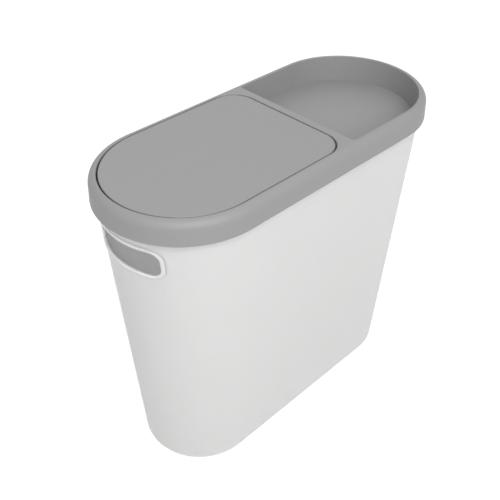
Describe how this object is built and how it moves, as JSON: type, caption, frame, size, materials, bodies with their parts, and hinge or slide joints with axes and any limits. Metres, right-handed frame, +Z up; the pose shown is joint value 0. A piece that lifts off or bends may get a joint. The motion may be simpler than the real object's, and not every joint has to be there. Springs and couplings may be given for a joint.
{
  "type": "press-lid waste bin",
  "caption": "Slim white drafted waste bin with a lift-off grey collar that holds a spring-lifted press lid with a push latch beside an open storage tray.",
  "frame": {"origin": "middle of the bin on the floor, under its feet", "axes": "+X along the long side towards the tray, the lid's pressed end at -X, +Y across, +Z up"},
  "size_m": [0.3946, 0.1716, 0.347],
  "materials": {
    "body_plastic": "satin white polypropylene",
    "collar_plastic": "satin mid-grey polypropylene",
    "liner_plastic": "fine matte grey polypropylene",
    "latch_plastic": "natural acetal",
    "steel": "zinc-plated",
    "spring_steel": "drawn spring wire",
    "rubber": "matte black rubber"
  },
  "bodies": {
    "bin": {"bin_body": "body_plastic", "foot_pads": "rubber"},
    "collar": {"lid_frame": "collar_plastic", "hinge_pin_left": "steel", "hinge_pin_right": "steel", "pin_washer_left": "spring_steel", "pin_washer_right": "spring_steel", "torsion_spring_left": "spring_steel", "torsion_spring_right": "spring_steel", "latch_housing": "latch_plastic", "latch_cover": "latch_plastic", "latch_screws": "steel", "cover_screws": "steel", "lid_bumpers": "rubber"},
    "lid": {"lid_panel": "collar_plastic", "lid_liner": "liner_plastic", "liner_screws": "steel", "striker": "latch_plastic", "striker_screws": "steel"},
    "latch_arm": {"latch_wire": "spring_steel"}
  },
  "joints": [
    {"name": "collar_lift", "type": "slide", "parent": "bin", "child": "collar", "axis": [0, 0, 1], "range_m": [0, 0.08]},
    {"name": "lid_hinge", "type": "hinge", "parent": "collar", "child": "lid", "pos_m": [-0.003, 0, 0.3382], "axis": [0, 1, 0], "range_deg": [0, 80]},
    {"name": "latch_swing", "type": "hinge", "parent": "collar", "child": "latch_arm", "pos_m": [-0.171, 0, 0.313], "axis": [0, 1, 0], "range_deg": [0, 14.4]}
  ]
}
